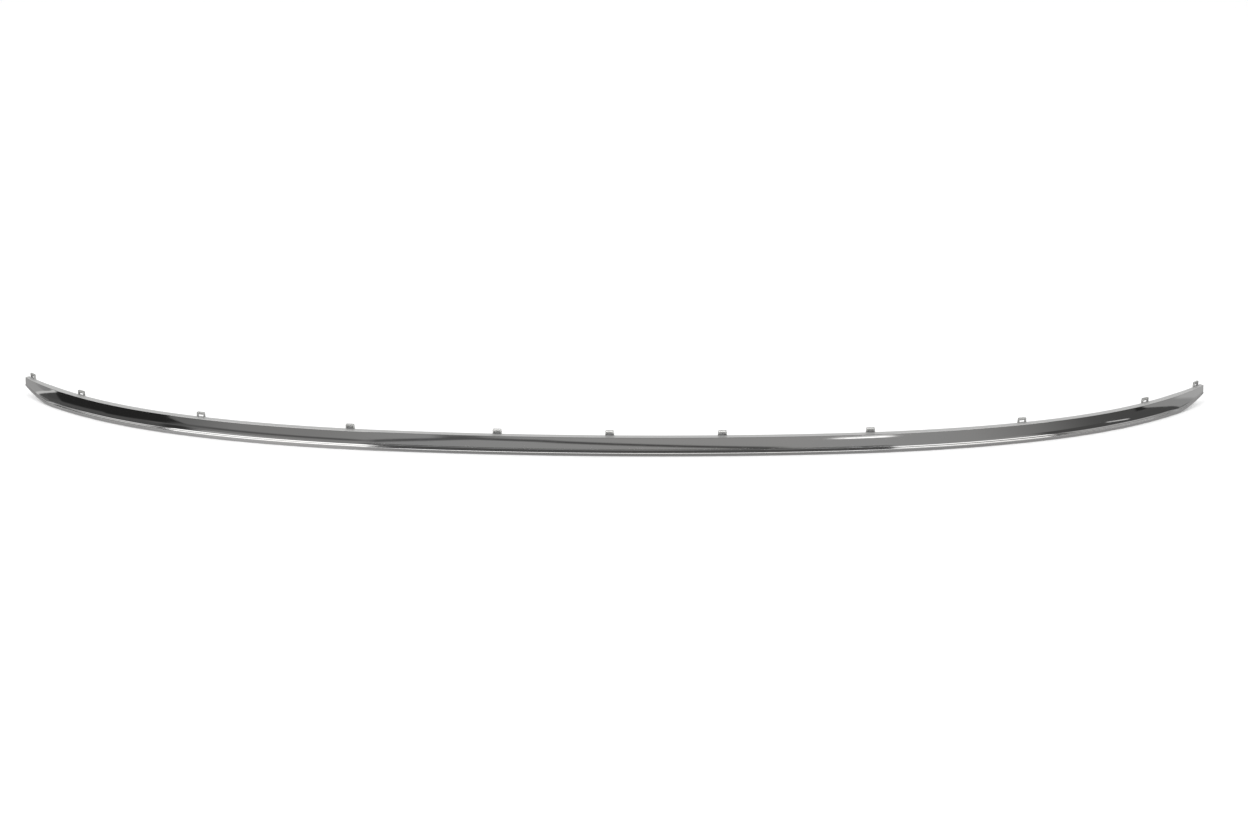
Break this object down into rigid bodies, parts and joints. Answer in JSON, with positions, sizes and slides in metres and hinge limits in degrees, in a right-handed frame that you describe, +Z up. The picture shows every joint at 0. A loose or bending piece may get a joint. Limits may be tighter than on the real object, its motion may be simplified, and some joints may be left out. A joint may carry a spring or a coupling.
{
  "type": "bumper chrome trim",
  "caption": "Bowed chrome-plated bumper trim strip with a crowned face, a bead along its foot and snap loops along its rear upper edge.",
  "frame": {"origin": "on the floor plane under the middle of the strip's overall box", "axes": "+X along the strip, -Y out of its face, +Z up"},
  "size_m": [1.6492, 0.2262, 0.0299],
  "materials": {
    "chrome_plating": "bright nickel and chrome plating on moulded ABS"
  },
  "bodies": {
    "root": {"trim_strip": "chrome_plating"}
  },
  "joints": []
}
